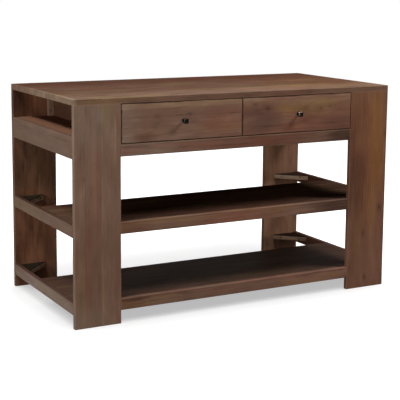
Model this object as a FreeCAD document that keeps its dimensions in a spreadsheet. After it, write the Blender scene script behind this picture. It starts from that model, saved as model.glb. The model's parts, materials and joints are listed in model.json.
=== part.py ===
import FreeCAD, Part
import os
import Sketcher

# Kitchen island of stained planks: plank legs, two open shelves, an open slot at each end and two
# inset drawers on telescopic slides. Millimetres, X to the right, Y to the back, Z up. The origin is
# on the floor, under the centre of the island's box with the knobs counted in.

doc = FreeCAD.newDocument("kitchen_island")

driving = (
    ("island_length", 1506, "over the legs, left to right"),
    ("island_depth", 730, "over the legs, front to back, without the knobs"),
    ("island_height", 914, "floor to top"),
    ("top_thick", 24, "top board"),
    ("top_eased", 2, "bevel of the top board's upper edges and corners"),
    ("leg_width", 200, "plank leg, across the front"),
    ("board_thick", 20, "legs, rails and drawer fronts"),
    ("eased", 1.5, "bevel of the planks' edges"),
    ("rail_height", 49, "drawer rail and shelf rails"),
    ("bottom_shelf_top", 104, "floor to the bottom shelf"),
    ("shelf_pitch", 312, "bottom shelf to middle shelf, and on to the drawer rail"),
    ("shelf_depth", 432, "front face to the back edge of the shelves"),
    ("shelf_thick", 20, "shelf panels"),
    ("end_shelf_top", 768, "floor to the floor of the end slots"),
    ("end_shelf_thick", 12, "floor of the end slots"),
    ("bay_side_thick", 15, "sides of the drawer bay"),
    ("divider_thick", 18, "divider between the drawers"),
    ("divider_setback", 3, "divider behind the drawer fronts"),
    ("block_width", 26, "upright blocks in the end slots"),
    ("block_screw_inset", 22, "block screws from the block's ends"),
    ("brace_reach", 120, "braces along each wall of their corner"),
    ("brace_height", 22, "braces, upright"),
    ("brace_drop", 5, "braces under the top of their rails"),
    ("brace_screw_inset", 27, "brace screws from the brace's tips"),
    ("screw_radius", 2, "wood screw shank"),
    ("screw_head_radius", 4, "wood screw head"),
    ("screw_head_height", 3, "wood screw head"),
    ("screw_grip", 8, "wood between a screw head and the leg or rail"),
    ("screw_bite", 15, "screw in the leg or rail"),
    ("hole_play", 0.2, "radius of a drilled hole over its screw"),
    ("screw_sides", 12, "facets round a wood screw"),
    ("loose_tenon_thick", 8, "loose tenons between rails and legs"),
    ("loose_tenon_width", 30, "loose tenons, upright"),
    ("loose_tenon_length", 40, "loose tenons, half in the rail and half in the leg"),
    ("mortise_play", 0.1, "mortise over its loose tenon, each side"),
    ("drawer_gap", 2.5, "round the drawer fronts"),
    ("box_wall", 12, "drawer sides and backs"),
    ("box_length", 520, "drawer box behind its front"),
    ("box_height", 115, "drawer box"),
    ("box_lift", 14, "drawer box above the drawer rail"),
    ("bottom_thick", 5, "drawer bottom"),
    ("bottom_lift", 12, "groove above the lower edge of the drawer box"),
    ("groove_depth", 6, "groove for the drawer bottom"),
    ("groove_play", 0.2, "drawer bottom in its groove"),
    ("tenon_length", 8, "dovetail tenon of a drawer side in the front"),
    ("tenon_neck", 6, "dovetail tenon at its shoulder"),
    ("tenon_tip", 9, "dovetail tenon at its tip"),
    ("tail_count", 4, "dovetails at each back corner of a drawer"),
    ("pin_narrow", 6, "pin between two tails, at the back face"),
    ("pin_wide", 10, "pin between two tails, at the inner face"),
    ("glue_gap", 0.1, "each side of a dovetail"),
    ("slide_length", 500, "telescopic slide, closed"),
    ("slide_width", 12.7, "telescopic slide, frame to drawer"),
    ("slide_height", 45, "channel of the slide"),
    ("slide_setback", 3, "slide behind the drawer front"),
    ("slide_steel", 1.2, "sheet that the slide is rolled from"),
    ("slide_ball", 2.7, "balls between the members of the slide"),
    ("channel_depth", 9.5, "channel, out from the frame"),
    ("channel_lip", 1.5, "turned-in edge of the channel"),
    ("carrier_start", 2.2, "back of the carrier, out from the frame"),
    ("carrier_depth", 8, "carrier"),
    ("runner_depth", 8.3, "runner, out from the drawer side"),
    ("knob_size", 20, "square head of the knob"),
    ("knob_head", 9, "head, front to back"),
    ("knob_reach", 26, "knob out from the drawer front"),
    ("knob_foot", 14, "square foot on the drawer front"),
    ("knob_waist", 9, "narrowest square of the neck"),
    ("knob_shoulder", 13, "neck where it meets the head"),
    ("knob_eased", 1.5, "bevel of the head's front edges"),
    ("knob_corner", 1.5, "bevel of the head's corners"),
    ("bolt_radius", 2, "knob bolt"),
    ("bolt_bite", 12, "knob bolt in the knob"),
    ("bolt_head_radius", 4.5, "head inside the drawer"),
    ("bolt_head_height", 3, "head inside the drawer"),
)

sheet = doc.addObject("Spreadsheet::Sheet", "dims")
for row, (alias, size, note) in enumerate(driving, start=1):
    sheet.set(f"A{row}", note)
    sheet.set(f"B{row}", str(size))
    sheet.setAlias(f"B{row}", alias)
doc.recompute()

# Planes of the island, as formulas on the sheet
half_length = "(dims.island_length / 2)"
front = "((dims.knob_reach - dims.island_depth) / 2)"
back = "((dims.knob_reach + dims.island_depth) / 2)"
inside_front = f"({front} + dims.board_thick)"
inside_back = f"({back} - dims.board_thick)"
inside_depth = "(dims.island_depth - 2 * dims.board_thick)"
inside_end = f"({half_length} - dims.board_thick)"
inside_leg = f"({half_length} - dims.leg_width)"
middle_depth = "(dims.knob_reach / 2)"
clear_width = "(dims.island_length - 2 * dims.leg_width)"
under_top = "(dims.island_height - dims.top_thick)"
middle_shelf_top = "(dims.bottom_shelf_top + dims.shelf_pitch)"
drawer_rail_top = "(dims.bottom_shelf_top + 2 * dims.shelf_pitch)"
drawer_rail_low = f"({drawer_rail_top} - dims.rail_height)"
bay_height = f"({under_top} - {drawer_rail_low})"
bay_side_outer = f"({inside_leg} + dims.bay_side_thick)"

# Planes of the left drawer
bay_left = f"(-{inside_leg})"
bay_right = "(-dims.divider_thick / 2)"
bay_middle = f"(({bay_left} + {bay_right}) / 2)"
front_left = f"({bay_left} + dims.drawer_gap)"
front_width = f"(({clear_width} - 3 * dims.drawer_gap) / 2)"
front_low = f"({drawer_rail_top} + dims.drawer_gap)"
front_height = f"({under_top} - {drawer_rail_top} - 2 * dims.drawer_gap)"
box_left = f"({bay_left} + dims.slide_width)"
box_width = f"({bay_right} - {bay_left} - 2 * dims.slide_width)"
box_low = f"({drawer_rail_top} + dims.box_lift)"
box_in_front = f"({box_left} - {front_left})"
box_middle_height = f"({box_low} + dims.box_height / 2)"
knob_across = f"({front_width} / 2)"
knob_up = f"({front_height} / 2)"

hair = 1e-6
parts = {}


def value(formula):
    """Number that a formula on the sheet gives."""
    return float(sheet.evalExpression(formula))


def keep(label, item):
    """Lists a finished sub-part under its own name."""
    item.Label = label
    parts[label] = item
    return item


def place(item, corner):
    """Binds the place of a sub-part to three formulas."""
    for axis, formula in zip("xyz", corner):
        item.setExpression(f"Placement.Base.{axis}", formula)


def new_sketch(body, role, offset="0"):
    """Sketch on one of the body's own planes, moved along that plane's normal."""
    sketch = body.newObject("Sketcher::SketchObject", "sketch")
    plane = next(item for item in body.Origin.OriginFeatures if item.Role == role)
    sketch.AttachmentSupport = [(plane, "")]
    sketch.MapMode = "FlatFace"
    sketch.setExpression("AttachmentOffset.Base.z", offset)
    return sketch


def pin_point(sketch, geometry, point, x, y):
    """Holds a point of a sketch at two formulas from the sketch's origin."""
    for kind, formula in (("DistanceX", x), ("DistanceY", y)):
        rule = Sketcher.Constraint(kind, -1, 1, geometry, point, value(formula))
        index = sketch.addConstraint(rule)
        sketch.setExpression(f"Constraints[{index}]", formula)


def draw_outline(sketch, points):
    """Closed outline of straight lines through points given as pairs of formulas."""
    spots = [FreeCAD.Vector(value(x), value(y), 0) for x, y in points]
    first = sketch.GeometryCount
    for start, end in zip(spots, spots[1:] + spots[:1]):
        sketch.addGeometry(Part.LineSegment(start, end))
    for index, (x, y) in enumerate(points):
        follower = first + (index + 1) % len(points)
        sketch.addConstraint(Sketcher.Constraint("Coincident", first + index, 2, follower, 1))
        pin_point(sketch, first + index, 1, x, y)


def rectangle(x, y, width, height):
    """Corners of a rectangle, as formulas."""
    right = f"{x} + {width}"
    high = f"{y} + {height}"
    return [(x, y), (right, y), (right, high), (x, high)]


def draw_circle(sketch, x, y, radius):
    """Circle with its centre and radius bound to formulas."""
    centre = FreeCAD.Vector(value(x), value(y), 0)
    index = sketch.addGeometry(Part.Circle(centre, FreeCAD.Vector(0, 0, 1), value(radius)))
    rule = sketch.addConstraint(Sketcher.Constraint("Radius", index, value(radius)))
    sketch.setExpression(f"Constraints[{rule}]", radius)
    pin_point(sketch, index, 3, x, y)


def pad(body, sketch, length, backwards=False):
    """Solid pushed out of a sketch."""
    feature = body.newObject("PartDesign::Pad", "pad")
    feature.Profile = sketch
    feature.setExpression("Length", length)
    feature.Reversed = backwards
    doc.recompute()
    return feature


def pocket(body, sketch, depth=None, forwards=False):
    """Recess cut from a sketch against its normal, or along it, to a depth or right through."""
    before = body.Shape.Volume
    feature = body.newObject("PartDesign::Pocket", "pocket")
    feature.Profile = sketch
    feature.Reversed = forwards
    if depth is None:
        feature.Type = "ThroughAll"
    else:
        feature.setExpression("Length", depth)
    doc.recompute()
    if body.Shape.Volume > before - 1:
        raise RuntimeError(f"nothing cut from {body.Label}")
    return feature


def ease(body, size, chosen):
    """Bevels the edges that a test picks from the body's shape."""
    last = body.Tip
    feature = body.newObject("PartDesign::Chamfer", "bevel")
    feature.Base = (last, [f"Edge{i}" for i, edge in enumerate(last.Shape.Edges, start=1) if chosen(edge)])
    feature.setExpression("Size", size)
    doc.recompute()


def runs_along(axis):
    """Test for edges parallel to an axis."""

    def test(edge):
        box = edge.BoundBox
        spans = {"x": box.XLength, "y": box.YLength, "z": box.ZLength}
        return all(span < hair for name, span in spans.items() if name != axis)

    return test


def on_foot(edge):
    """Test for the edges that stand on the floor, and the upright ones."""
    return edge.BoundBox.ZMax < hair or runs_along("z")(edge)


def on_face(edge):
    """Test for the edges round the front face of a plank."""
    return edge.BoundBox.YMax < hair


def board(label, size, corner, eased):
    """Plank of a size at a corner, with the edges that a test picks bevelled."""
    body = doc.addObject("PartDesign::Body", label)
    keep(label, body)
    sketch = new_sketch(body, "XY_Plane")
    draw_outline(sketch, rectangle("0", "0", size[0], size[1]))
    pad(body, sketch, size[2])
    ease(body, "dims.eased", eased)
    place(body, corner)
    return body


def mirrored(label, source, axis, plane):
    """Twin of a sub-part on the other side of a plane across an axis."""
    twin = doc.addObject("Part::Mirroring", label)
    twin.Source = source
    twin.Normal = FreeCAD.Vector(axis == "x", axis == "y", 0)
    twin.setExpression(f"Base.{axis}", plane)
    return keep(label, twin)


def other_end(source):
    """Twin of a left piece at the right end of the island."""
    return mirrored(source.Label.replace("left", "right", 1), source, "x", "0")


def drill(body, role, offset, spots, radius, depth=None, forwards=False):
    """Round holes at pairs of formulas on one plane of a body."""
    sketch = new_sketch(body, role, offset)
    for x, y in spots:
        draw_circle(sketch, x, y, radius)
    pocket(body, sketch, depth, forwards)


pilot = "dims.screw_radius + dims.hole_play"
pilot_depth = "dims.screw_bite + 1"
recess = "dims.screw_head_radius + 2 * dims.hole_play"
levels = (("middle", middle_shelf_top), ("bottom", "dims.bottom_shelf_top"))


def brace_middle(shelf_top):
    """Height of a brace's centre line."""
    return f"({shelf_top} - dims.brace_drop - dims.brace_height / 2)"


block_screws = (
    "dims.end_shelf_top + dims.block_screw_inset",
    f"{under_top} - dims.block_screw_inset",
)
mortise_depth = "dims.loose_tenon_length / 2 + 1"
mortise_width = "(dims.loose_tenon_width + 2 * dims.mortise_play)"
mortise_thick = "(dims.loose_tenon_thick + 2 * dims.mortise_play)"
rail_tenon_count = 1
apron_tenon_count = 2


def tenon_heights(low, height, count):
    """Heights of the loose tenons in the end of a rail."""
    return [f"({low} + {height} * {2 * index + 1} / {2 * count})" for index in range(count)]


def cut_mortises(body, offset, heights, forwards=False):
    """Mortises for loose tenons in the edge of a leg or in the end of a rail."""
    sketch = new_sketch(body, "YZ_Plane", offset)
    start = f"(dims.board_thick - {mortise_thick}) / 2"
    for height in heights:
        low = f"{height} - {mortise_width} / 2"
        draw_outline(sketch, rectangle(start, low, mortise_thick, mortise_width))
    pocket(body, sketch, mortise_depth, forwards)


rail_tops = (drawer_rail_top, *(shelf_top for _, shelf_top in levels))
front_tenons = [f"({rail_top} - dims.rail_height / 2)" for rail_top in rail_tops]
apron_tenons = tenon_heights(drawer_rail_low, bay_height, apron_tenon_count)


def make_top():
    """Top board, bevelled round its upper edges and at its corners."""
    body = doc.addObject("PartDesign::Body", "top_board")
    keep("top_board", body)
    sketch = new_sketch(body, "XY_Plane")
    draw_outline(sketch, rectangle("0", "0", "dims.island_length", "dims.island_depth"))
    pad(body, sketch, "dims.top_thick")
    ease(body, "dims.top_eased", runs_along("z"))
    upper = value("dims.top_thick") - hair
    ease(body, "dims.top_eased", lambda edge: edge.BoundBox.ZMin > upper)
    place(body, (f"-{half_length}", front, under_top))


def make_leg(label, depth, tenons):
    """Plank leg with mortises in its inner edge; the screw holes are drilled from its inner face."""
    size = ("dims.leg_width", "dims.board_thick", under_top)
    leg = board(label, size, (f"-{half_length}", depth, "0"), on_foot)
    cut_mortises(leg, "dims.leg_width", tenons)
    return leg


def make_legs():
    """Legs, with holes for the screws of the end-slot blocks and of the shelf braces."""
    block_x = "dims.leg_width - dims.bay_side_thick - dims.block_width / 2"
    block_spots = [(block_x, height) for height in block_screws]
    brace_x = "dims.board_thick + dims.brace_reach - dims.brace_screw_inset"
    brace_spots = [(brace_x, brace_middle(shelf_top)) for _, shelf_top in levels]
    leg = make_leg("front_left_leg", front, front_tenons)
    drill(leg, "XZ_Plane", "-dims.board_thick", block_spots, pilot, pilot_depth, forwards=True)
    other_end(leg)
    leg = make_leg("back_left_leg", inside_back, apron_tenons)
    drill(leg, "XZ_Plane", "0", block_spots + brace_spots, pilot, pilot_depth)
    other_end(leg)


def make_cross_rail(label, depth, low, height, tenon_count):
    """Rail between two legs, with mortises in both ends."""
    size = (clear_width, "dims.board_thick", height)
    rail = board(label, size, (f"-{inside_leg}", depth, low), runs_along("x"))
    heights = tenon_heights("0", height, tenon_count)
    cut_mortises(rail, "0", heights, forwards=True)
    cut_mortises(rail, clear_width, heights)


def make_loose_tenons():
    """Loose tenons between the cross rails and the legs, one group of separate solids."""
    length = value("dims.loose_tenon_length")
    thick = value("dims.loose_tenon_thick")
    width = value("dims.loose_tenon_width")
    tenons = []
    for depth, heights in ((value(front), front_tenons), (value(inside_back), apron_tenons)):
        near = depth + value("(dims.board_thick - dims.loose_tenon_thick) / 2")
        for end in (-value(inside_leg), value(inside_leg)):
            for height in heights:
                corner = FreeCAD.Vector(end - length / 2, near, value(height) - width / 2)
                tenons.append(Part.makeBox(length, thick, width, corner))
    group = doc.addObject("Part::Feature", "rail_tenons")
    group.Shape = Part.makeCompound(tenons)
    group.Placement = FreeCAD.Placement()
    keep("rail_tenons", group)


def make_drawer_bay():
    """Rail, apron, sides and divider around the two drawers."""
    make_cross_rail("drawer_rail", front, drawer_rail_low, "dims.rail_height", rail_tenon_count)
    make_cross_rail("back_apron", inside_back, drawer_rail_low, bay_height, apron_tenon_count)
    size = ("dims.bay_side_thick", inside_depth, bay_height)
    corner = (f"-{bay_side_outer}", inside_front, drawer_rail_low)
    other_end(board("left_bay_side", size, corner, runs_along("y")))
    divider = doc.addObject("PartDesign::Body", "drawer_divider")
    keep("drawer_divider", divider)
    sketch = new_sketch(divider, "YZ_Plane")
    points = [
        ("0", "0"),
        (inside_depth, "0"),
        (inside_depth, bay_height),
        ("dims.divider_setback", bay_height),
        ("dims.divider_setback", "dims.rail_height"),
        ("0", "dims.rail_height"),
    ]
    draw_outline(sketch, points)
    pad(divider, sketch, "dims.divider_thick")
    place(divider, ("-dims.divider_thick / 2", inside_front, drawer_rail_low))


def make_end_slots():
    """Tall end rail, floor and upright corner blocks of the open slot at each end."""
    size = ("dims.board_thick", inside_depth, f"dims.end_shelf_top - {drawer_rail_low}")
    corner = (f"-{half_length}", inside_front, drawer_rail_low)
    other_end(board("left_upper_end_rail", size, corner, runs_along("y")))
    size = (f"{inside_end} - {bay_side_outer}", inside_depth, "dims.end_shelf_thick")
    corner = (f"-{inside_end}", inside_front, "dims.end_shelf_top - dims.end_shelf_thick")
    other_end(board("left_end_shelf", size, corner, runs_along("y")))
    height = f"{under_top} - dims.end_shelf_top"
    size = ("dims.block_width", "dims.board_thick", height)
    corner = (
        f"-{bay_side_outer} - dims.block_width",
        f"{inside_back} - dims.board_thick",
        "dims.end_shelf_top",
    )
    block = board("back_left_corner_block", size, corner, runs_along("z"))
    across = "dims.block_width / 2"
    spots = [(across, "dims.block_screw_inset"), (across, f"{height} - dims.block_screw_inset")]
    drill(block, "XZ_Plane", "0", spots, recess, "dims.board_thick - dims.screw_grip")
    drill(block, "XZ_Plane", "0", spots, pilot)
    front_block = mirrored("front_left_corner_block", block, "y", middle_depth)
    other_end(block)
    other_end(front_block)


def make_brace(label, shelf_top):
    """Three-cornered brace in a rear corner, with a deep screw hole into the leg and one into the rail."""
    brace = doc.addObject("PartDesign::Body", label)
    keep(label, brace)
    reach = "dims.brace_reach"
    sketch = new_sketch(brace, "XY_Plane")
    draw_outline(sketch, [("0", "0"), (reach, reach), ("0", reach)])
    pad(brace, sketch, "dims.brace_height")
    half_height = "dims.brace_height / 2"
    into_leg = [(f"{reach} - dims.brace_screw_inset", half_height)]
    into_rail = [("dims.brace_screw_inset", half_height)]
    drill(brace, "XZ_Plane", f"-{reach}", into_leg, pilot, forwards=True)
    drill(brace, "XZ_Plane", f"dims.screw_grip - {reach}", into_leg, recess, forwards=True)
    drill(brace, "YZ_Plane", "0", into_rail, pilot, forwards=True)
    drill(brace, "YZ_Plane", "dims.screw_grip", into_rail, recess, forwards=True)
    low = f"{brace_middle(shelf_top)} - dims.brace_height / 2"
    place(brace, (f"-{inside_end}", f"{inside_back} - {reach}", low))
    return brace


def make_shelf(level, shelf_top):
    """Shelf panel flush with its front and end rails, a rear rail under its back edge, rear braces."""
    low = f"{shelf_top} - dims.rail_height"
    make_cross_rail(f"{level}_front_rail", front, low, "dims.rail_height", rail_tenon_count)
    span = f"2 * {inside_end}"
    size = (span, "dims.shelf_depth - dims.board_thick", "dims.shelf_thick")
    corner = (f"-{inside_end}", inside_front, f"{shelf_top} - dims.shelf_thick")
    board(f"{level}_shelf_panel", size, corner, runs_along("x"))
    size = (span, "dims.board_thick", "dims.rail_height - dims.shelf_thick")
    corner = (f"-{inside_end}", f"{front} + dims.shelf_depth - dims.board_thick", low)
    board(f"{level}_rear_rail", size, corner, runs_along("x"))
    size = ("dims.board_thick", inside_depth, "dims.rail_height")
    rail = board(f"left_{level}_end_rail", size, (f"-{half_length}", inside_front, low), runs_along("y"))
    along = f"{inside_depth} - dims.brace_reach + dims.brace_screw_inset"
    up = "dims.rail_height - dims.brace_drop - dims.brace_height / 2"
    drill(rail, "YZ_Plane", "dims.board_thick", [(along, up)], pilot, pilot_depth)
    other_end(rail)
    other_end(make_brace(f"left_{level}_brace", shelf_top))


def screw_barrel(radius, start, length):
    """Faceted barrel of a wood screw along Z, from a start to a length."""
    sides = int(value("dims.screw_sides"))
    spoke = FreeCAD.Vector(value(radius), 0, start)
    axis = FreeCAD.Vector(0, 0, 1)
    turns = [FreeCAD.Rotation(axis, index * 360 / sides) for index in range(sides)]
    corners = [turn.multVec(spoke) for turn in turns]
    section = Part.Face(Part.makePolygon([*corners, corners[0]]))
    return section.extrude(axis * value(length))


def make_frame_screws():
    """Wood screws of the braces and corner blocks, one group of separate solids."""
    under_head = -value("dims.screw_grip")
    head = screw_barrel("dims.screw_head_radius", under_head, "-dims.screw_head_height")
    shank = screw_barrel("dims.screw_radius", under_head, "dims.screw_grip + dims.screw_bite")
    screw = head.fuse(shank)
    walls = []
    for side in (-1, 1):
        block_x = side * value(f"{bay_side_outer} + dims.block_width / 2")
        for height in block_screws:
            walls.append(((block_x, value(inside_front), value(height)), (0, -1, 0)))
            walls.append(((block_x, value(inside_back), value(height)), (0, 1, 0)))
        end = side * value(inside_end)
        in_reach = value("dims.brace_reach - dims.brace_screw_inset")
        for _, shelf_top in levels:
            height = value(brace_middle(shelf_top))
            walls.append(((end - side * in_reach, value(inside_back), height), (0, 1, 0)))
            walls.append(((end, value(inside_back) - in_reach, height), (side, 0, 0)))
    screws = []
    for point, direction in walls:
        turn = FreeCAD.Rotation(FreeCAD.Vector(0, 0, 1), FreeCAD.Vector(*direction))
        copy = screw.copy()
        copy.Placement = FreeCAD.Placement(FreeCAD.Vector(*point), turn)
        screws.append(copy)
    group = doc.addObject("Part::Feature", "frame_screws")
    group.Shape = Part.makeCompound(screws)
    group.Placement = FreeCAD.Placement()
    keep("frame_screws", group)


def make_drawer_front():
    """Inset drawer front with two stopped dovetail sockets, a groove for the bottom and the knob's hole."""
    size = (front_width, "dims.board_thick", front_height)
    drawer_front = board("left_drawer_front", size, (front_left, front, front_low), on_face)
    shoulder = "dims.board_thick"
    tip = "dims.board_thick - dims.tenon_length - dims.glue_gap"
    neck = "(dims.tenon_neck / 2 + dims.glue_gap)"
    flare = "(dims.tenon_tip / 2 + dims.glue_gap)"
    sketch = new_sketch(drawer_front, "XY_Plane")
    end_side = f"{box_in_front} + dims.box_wall / 2"
    middle_side = f"{box_in_front} + {box_width} - dims.box_wall / 2"
    for centre in (end_side, middle_side):
        corners = [
            (f"{centre} - {neck}", shoulder),
            (f"{centre} + {neck}", shoulder),
            (f"{centre} + {flare}", tip),
            (f"{centre} - {flare}", tip),
        ]
        draw_outline(sketch, corners)
    stop = f"{box_low} + dims.box_height - {front_low}"
    pocket(drawer_front, sketch, stop, forwards=True)
    sketch = new_sketch(drawer_front, "XZ_Plane", "-dims.board_thick")
    start = f"{box_in_front} + dims.box_wall - dims.groove_depth"
    width = f"{box_width} - 2 * dims.box_wall + 2 * dims.groove_depth"
    up = f"{box_low} + dims.bottom_lift - {front_low}"
    draw_outline(sketch, rectangle(start, up, width, "dims.bottom_thick + dims.groove_play"))
    pocket(drawer_front, sketch, "dims.groove_depth", forwards=True)
    drill(drawer_front, "XZ_Plane", "0", [(knob_across, knob_up)], "dims.bolt_radius + dims.hole_play")
    return drawer_front


def make_drawer_side():
    """Drawer side: dovetail tenon at the front, tails at the back, groove for the bottom inside."""
    side = doc.addObject("PartDesign::Body", "left_drawer_end_side")
    keep("left_drawer_end_side", side)
    wall = "dims.box_wall"
    shoulder = "dims.tenon_length"
    rear = "(dims.tenon_length + dims.box_length)"
    sketch = new_sketch(side, "XY_Plane")
    points = [
        ("(dims.box_wall - dims.tenon_tip) / 2", "0"),
        ("(dims.box_wall + dims.tenon_tip) / 2", "0"),
        ("(dims.box_wall + dims.tenon_neck) / 2", shoulder),
        (wall, shoulder),
        (wall, rear),
        ("0", rear),
        ("0", shoulder),
        ("(dims.box_wall - dims.tenon_neck) / 2", shoulder),
    ]
    draw_outline(sketch, points)
    pad(side, sketch, "dims.box_height")
    sketch = new_sketch(side, "XZ_Plane")
    start = "dims.box_wall - dims.groove_depth"
    height = "dims.bottom_thick + dims.groove_play"
    draw_outline(sketch, rectangle(start, "dims.bottom_lift", "dims.groove_depth", height))
    pocket(side, sketch, f"{rear} - dims.box_wall + dims.groove_depth")
    pitch = "dims.box_height / dims.tail_count"
    narrow = "(dims.pin_narrow / 2 + dims.glue_gap)"
    wide = "(dims.pin_wide / 2 + dims.glue_gap)"
    base = f"{rear} - dims.box_wall"
    sketch = new_sketch(side, "YZ_Plane")
    for index in range(int(value("dims.tail_count")) + 1):
        height = f"({index} * {pitch})"
        corners = [
            (base, f"{height} - {wide}"),
            (rear, f"{height} - {narrow}"),
            (rear, f"{height} + {narrow}"),
            (base, f"{height} + {wide}"),
        ]
        draw_outline(sketch, corners)
    pocket(side, sketch, forwards=True)
    place(side, (box_left, f"{inside_front} - dims.tenon_length", box_low))
    return side


def make_drawer_back():
    """Drawer back with pins that fill the spaces between the tails, and a groove for the bottom."""
    panel = doc.addObject("PartDesign::Body", "left_drawer_back")
    keep("left_drawer_back", panel)
    sketch = new_sketch(panel, "XY_Plane")
    draw_outline(sketch, rectangle("0", "0", box_width, "dims.box_wall"))
    pad(panel, sketch, "dims.box_height")
    sketch = new_sketch(panel, "XZ_Plane")
    width = f"{box_width} - 2 * dims.box_wall"
    height = "dims.bottom_thick + dims.groove_play"
    draw_outline(sketch, rectangle("dims.box_wall", "dims.bottom_lift", width, height))
    pocket(panel, sketch, "dims.groove_depth")
    pitch = "dims.box_height / dims.tail_count"
    for offset, forwards in (("0", True), (box_width, False)):
        sketch = new_sketch(panel, "YZ_Plane", offset)
        for index in range(int(value("dims.tail_count"))):
            low = f"{index} * {pitch}"
            high = f"{index + 1} * {pitch}"
            corners = [
                ("0", f"{low} + dims.pin_wide / 2"),
                ("dims.box_wall", f"{low} + dims.pin_narrow / 2"),
                ("dims.box_wall", f"{high} - dims.pin_narrow / 2"),
                ("0", f"{high} - dims.pin_wide / 2"),
            ]
            draw_outline(sketch, corners)
        pocket(panel, sketch, "dims.box_wall", forwards)
    place(panel, (box_left, f"{inside_front} + dims.box_length - dims.box_wall", box_low))
    return panel


def make_drawer_bottom():
    """Plywood bottom held in the grooves of all four sides."""
    bottom = doc.addObject("PartDesign::Body", "left_drawer_bottom")
    keep("left_drawer_bottom", bottom)
    sunk = "(dims.groove_depth - dims.groove_play)"
    sketch = new_sketch(bottom, "XY_Plane")
    width = f"{box_width} - 2 * dims.box_wall + 2 * {sunk}"
    length = f"dims.box_length - dims.box_wall + 2 * {sunk}"
    draw_outline(sketch, rectangle("0", "0", width, length))
    pad(bottom, sketch, "dims.bottom_thick")
    low = f"{box_low} + dims.bottom_lift + dims.groove_play / 2"
    place(bottom, (f"{box_left} + dims.box_wall - {sunk}", f"{inside_front} - {sunk}", low))
    return bottom


def square(side):
    """Square round the axis of the knob, as formulas from the corner of its head."""
    start = f"(dims.knob_size - {side}) / 2"
    return rectangle(start, start, side, side)


def make_knob():
    """Square knob: a neck that narrows at its waist, a bevelled head and a blind hole for the bolt."""
    knob = doc.addObject("PartDesign::Body", "left_knob")
    keep("left_knob", knob)
    neck_length = "(dims.knob_reach - dims.knob_head)"
    sections = []
    squares = (
        ("dims.knob_foot", "0"),
        ("dims.knob_waist", f"{neck_length} / 2"),
        ("dims.knob_shoulder", neck_length),
    )
    for side, out in squares:
        sketch = new_sketch(knob, "XZ_Plane", out)
        draw_outline(sketch, square(side))
        sections.append(sketch)
    doc.recompute()
    neck = knob.newObject("PartDesign::AdditiveLoft", "neck")
    neck.Profile = sections[0]
    neck.Sections = sections[1:]
    doc.recompute()
    sketch = new_sketch(knob, "XZ_Plane", neck_length)
    draw_outline(sketch, square("dims.knob_size"))
    pad(knob, sketch, "dims.knob_head")
    head_start = value(neck_length) + hair
    ease(knob, "dims.knob_corner", lambda edge: runs_along("y")(edge) and edge.BoundBox.YMin < -head_start)
    tip = value("dims.knob_reach") - hair
    ease(knob, "dims.knob_eased", lambda edge: edge.BoundBox.YMax < -tip)
    centre = "dims.knob_size / 2"
    bore = "dims.bolt_radius + dims.hole_play"
    drill(knob, "XZ_Plane", "0", [(centre, centre)], bore, "dims.bolt_bite + 1", forwards=True)
    across = f"{front_left} + {knob_across} - dims.knob_size / 2"
    place(knob, (across, front, f"{front_low} + {knob_up} - dims.knob_size / 2"))
    return knob


def make_knob_bolt():
    """Machine screw from inside the drawer, through the front and into the knob."""
    bolt = doc.addObject("PartDesign::Body", "left_knob_bolt")
    keep("left_knob_bolt", bolt)
    centre = "dims.bolt_head_radius"
    sketch = new_sketch(bolt, "XZ_Plane")
    draw_circle(sketch, centre, centre, "dims.bolt_radius")
    pad(bolt, sketch, "dims.board_thick + dims.bolt_bite")
    sketch = new_sketch(bolt, "XZ_Plane")
    draw_circle(sketch, centre, centre, "dims.bolt_head_radius")
    pad(bolt, sketch, "dims.bolt_head_height", backwards=True)
    across = f"{front_left} + {knob_across} - {centre}"
    place(bolt, (across, inside_front, f"{front_low} + {knob_up} - {centre}"))
    return bolt


def slide_member(label, points, start):
    """Rolled member of a slide: its section, whose last point is its upper corner, run along the slide."""
    member = doc.addObject("PartDesign::Body", label)
    keep(label, member)
    sketch = new_sketch(member, "XZ_Plane")
    draw_outline(sketch, points)
    pad(member, sketch, "dims.slide_length", backwards=True)
    height = points[-1][1]
    low = f"{box_middle_height} - ({height}) / 2"
    place(member, (f"{bay_left} + {start}", f"{inside_front} + dims.slide_setback", low))
    return member


def make_slide():
    """Three nested channels of the slide at the end side of the left drawer."""
    steel = "dims.slide_steel"
    tall = "dims.slide_height"
    deep = "dims.channel_depth"
    lip = f"{steel} + dims.channel_lip"
    points = [
        ("0", "0"),
        (deep, "0"),
        (deep, lip),
        (f"{deep} - {steel}", lip),
        (f"{deep} - {steel}", steel),
        (steel, steel),
        (steel, f"{tall} - {steel}"),
        (f"{deep} - {steel}", f"{tall} - {steel}"),
        (f"{deep} - {steel}", f"{tall} - ({lip})"),
        (deep, f"{tall} - ({lip})"),
        (deep, tall),
        ("0", tall),
    ]
    channel = slide_member("left_end_slide_channel", points, "0")
    tall = f"(dims.slide_height - 2 * ({steel} + dims.slide_ball))"
    deep = "dims.carrier_depth"
    points = [
        ("0", "0"),
        (deep, "0"),
        (deep, steel),
        (steel, steel),
        (steel, f"{tall} - {steel}"),
        (deep, f"{tall} - {steel}"),
        (deep, tall),
        ("0", tall),
    ]
    carrier = slide_member("left_end_slide_carrier", points, "dims.carrier_start")
    tall = f"(dims.slide_height - 4 * ({steel} + dims.slide_ball))"
    deep = "dims.runner_depth"
    points = [
        ("0", f"{tall} - {steel}"),
        (f"{deep} - {steel}", f"{tall} - {steel}"),
        (f"{deep} - {steel}", steel),
        ("0", steel),
        ("0", "0"),
        (deep, "0"),
        (deep, tall),
        ("0", tall),
    ]
    runner = slide_member("left_end_slide_runner", points, "dims.slide_width - dims.runner_depth")
    return channel, carrier, runner


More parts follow.
